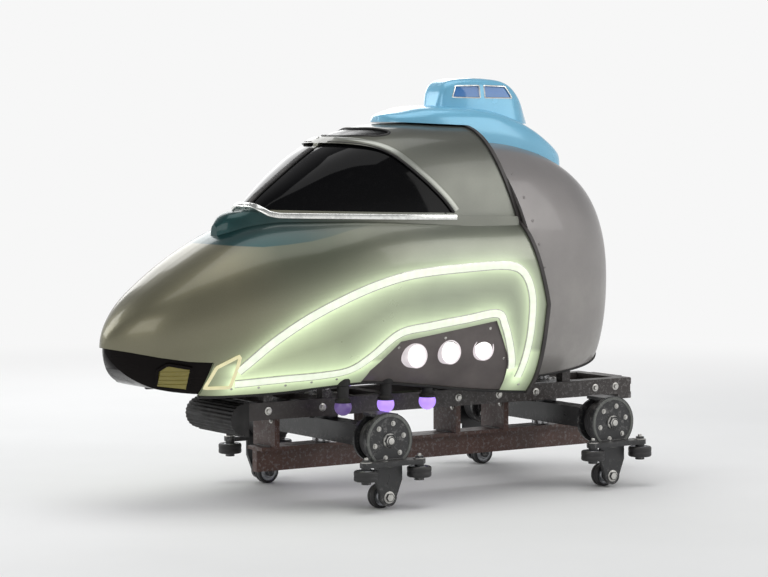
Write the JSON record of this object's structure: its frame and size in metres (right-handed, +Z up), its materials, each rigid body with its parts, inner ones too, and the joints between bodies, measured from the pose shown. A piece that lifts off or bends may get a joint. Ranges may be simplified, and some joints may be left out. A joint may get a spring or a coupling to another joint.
{
  "type": "roller coaster car",
  "caption": "Closed bullet-nosed lead car of a small coaster train, on two swivelling trucks with road, guide and upstop wheels.",
  "frame": {"origin": "middle of the car's overall box in plan, at the underside of the upstop wheels", "axes": "+X forward to the nose, +Y to the car's left, +Z up"},
  "size_m": [1.88, 0.822, 1.2263],
  "materials": {
    "silver_shell": "metallic silver paint on moulded shell, slightly green-grey",
    "mauve_shell": "satin mauve-grey paint on moulded shell",
    "blue_shell": "glossy light blue",
    "blue_glass": "glossy darker blue",
    "black_gloss": "gloss black",
    "black_glass": "black tinted glazing",
    "dark_plastic": "satin dark grey",
    "white_lamp": "lit warm-white diffuser",
    "amber_lamp": "yellowish lamp lens",
    "purple_lamp": "lit violet diffuser",
    "chassis_paint": "black-brown semi-gloss paint",
    "truck_paint": "black semi-gloss paint",
    "buffer_rubber": "matte black",
    "steel": "machined",
    "wheel_metal": "machined",
    "wheel_tread": "smooth black tread"
  },
  "bodies": {
    "chassis": {"frame": "chassis_paint", "king_pins": "steel", "drive_beam": "chassis_paint", "front_buffer": "buffer_rubber", "outriggers": "chassis_paint", "coupler": "chassis_paint", "nose_shell": "silver_shell", "canopy_shell": "silver_shell", "chin_panel": "black_gloss", "headlamps": "amber_lamp", "side_windows": "black_glass", "roof_window": "black_glass", "light_strips": "white_lamp", "lamp_panels": "dark_plastic", "side_lamps": "white_lamp", "seam_ring": "dark_plastic", "rear_cap": "mauve_shell", "roof_pod": "blue_shell", "pod_windows": "blue_glass", "glow_lamps": "purple_lamp"},
    "front_truck": {"front_axle_beam": "truck_paint", "front_carriage_left": "truck_paint", "front_carriage_right": "truck_paint"},
    "front_left_road_wheel": {"front_left_tyre": "wheel_tread", "front_left_hub": "wheel_metal"},
    "front_left_guide_a_wheel": {"front_left_guide_a": "wheel_tread"},
    "front_left_guide_b_wheel": {"front_left_guide_b": "wheel_tread"},
    "front_left_upstop_wheel": {"front_left_upstop": "wheel_tread"},
    "front_right_road_wheel": {"front_right_tyre": "wheel_tread", "front_right_hub": "wheel_metal"},
    "front_right_guide_a_wheel": {"front_right_guide_a": "wheel_tread"},
    "front_right_guide_b_wheel": {"front_right_guide_b": "wheel_tread"},
    "front_right_upstop_wheel": {"front_right_upstop": "wheel_tread"},
    "rear_truck": {"rear_axle_beam": "truck_paint", "rear_carriage_left": "truck_paint", "rear_carriage_right": "truck_paint"},
    "rear_left_road_wheel": {"rear_left_tyre": "wheel_tread", "rear_left_hub": "wheel_metal"},
    "rear_left_guide_a_wheel": {"rear_left_guide_a": "wheel_tread"},
    "rear_left_guide_b_wheel": {"rear_left_guide_b": "wheel_tread"},
    "rear_left_upstop_wheel": {"rear_left_upstop": "wheel_tread"},
    "rear_right_road_wheel": {"rear_right_tyre": "wheel_tread", "rear_right_hub": "wheel_metal"},
    "rear_right_guide_a_wheel": {"rear_right_guide_a": "wheel_tread"},
    "rear_right_guide_b_wheel": {"rear_right_guide_b": "wheel_tread"},
    "rear_right_upstop_wheel": {"rear_right_upstop": "wheel_tread"}
  },
  "joints": [
    {"name": "front_truck_swivel", "type": "hinge", "parent": "chassis", "child": "front_truck", "pos_m": [0.222, 0, 0.2], "axis": [0, 0, 1], "range_deg": [-15, 15]},
    {"name": "front_left_road_spin", "type": "hinge", "parent": "front_truck", "child": "front_left_road_wheel", "pos_m": [0.222, 0.31, 0.196], "axis": [0, 1, 0], "continuous": true},
    {"name": "front_left_guide_a_spin", "type": "hinge", "parent": "front_truck", "child": "front_left_guide_a_wheel", "pos_m": [0.312, 0.376, 0.105], "axis": [0, 0, 1], "continuous": true},
    {"name": "front_left_guide_b_spin", "type": "hinge", "parent": "front_truck", "child": "front_left_guide_b_wheel", "pos_m": [0.132, 0.376, 0.105], "axis": [0, 0, 1], "continuous": true},
    {"name": "front_left_upstop_spin", "type": "hinge", "parent": "front_truck", "child": "front_left_upstop_wheel", "pos_m": [0.222, 0.31, 0.035], "axis": [0, 1, 0], "continuous": true},
    {"name": "front_right_road_spin", "type": "hinge", "parent": "front_truck", "child": "front_right_road_wheel", "pos_m": [0.222, -0.31, 0.196], "axis": [0, 1, 0], "continuous": true},
    {"name": "front_right_guide_a_spin", "type": "hinge", "parent": "front_truck", "child": "front_right_guide_a_wheel", "pos_m": [0.312, -0.376, 0.105], "axis": [0, 0, 1], "continuous": true},
    {"name": "front_right_guide_b_spin", "type": "hinge", "parent": "front_truck", "child": "front_right_guide_b_wheel", "pos_m": [0.132, -0.376, 0.105], "axis": [0, 0, 1], "continuous": true},
    {"name": "front_right_upstop_spin", "type": "hinge", "parent": "front_truck", "child": "front_right_upstop_wheel", "pos_m": [0.222, -0.31, 0.035], "axis": [0, 1, 0], "continuous": true},
    {"name": "rear_truck_swivel", "type": "hinge", "parent": "chassis", "child": "rear_truck", "pos_m": [-0.586, 0, 0.2], "axis": [0, 0, 1], "range_deg": [-15, 15]},
    {"name": "rear_left_road_spin", "type": "hinge", "parent": "rear_truck", "child": "rear_left_road_wheel", "pos_m": [-0.586, 0.31, 0.196], "axis": [0, 1, 0], "continuous": true},
    {"name": "rear_left_guide_a_spin", "type": "hinge", "parent": "rear_truck", "child": "rear_left_guide_a_wheel", "pos_m": [-0.496, 0.376, 0.105], "axis": [0, 0, 1], "continuous": true},
    {"name": "rear_left_guide_b_spin", "type": "hinge", "parent": "rear_truck", "child": "rear_left_guide_b_wheel", "pos_m": [-0.676, 0.376, 0.105], "axis": [0, 0, 1], "continuous": true},
    {"name": "rear_left_upstop_spin", "type": "hinge", "parent": "rear_truck", "child": "rear_left_upstop_wheel", "pos_m": [-0.586, 0.31, 0.035], "axis": [0, 1, 0], "continuous": true},
    {"name": "rear_right_road_spin", "type": "hinge", "parent": "rear_truck", "child": "rear_right_road_wheel", "pos_m": [-0.586, -0.31, 0.196], "axis": [0, 1, 0], "continuous": true},
    {"name": "rear_right_guide_a_spin", "type": "hinge", "parent": "rear_truck", "child": "rear_right_guide_a_wheel", "pos_m": [-0.496, -0.376, 0.105], "axis": [0, 0, 1], "continuous": true},
    {"name": "rear_right_guide_b_spin", "type": "hinge", "parent": "rear_truck", "child": "rear_right_guide_b_wheel", "pos_m": [-0.676, -0.376, 0.105], "axis": [0, 0, 1], "continuous": true},
    {"name": "rear_right_upstop_spin", "type": "hinge", "parent": "rear_truck", "child": "rear_right_upstop_wheel", "pos_m": [-0.586, -0.31, 0.035], "axis": [0, 1, 0], "continuous": true}
  ]
}
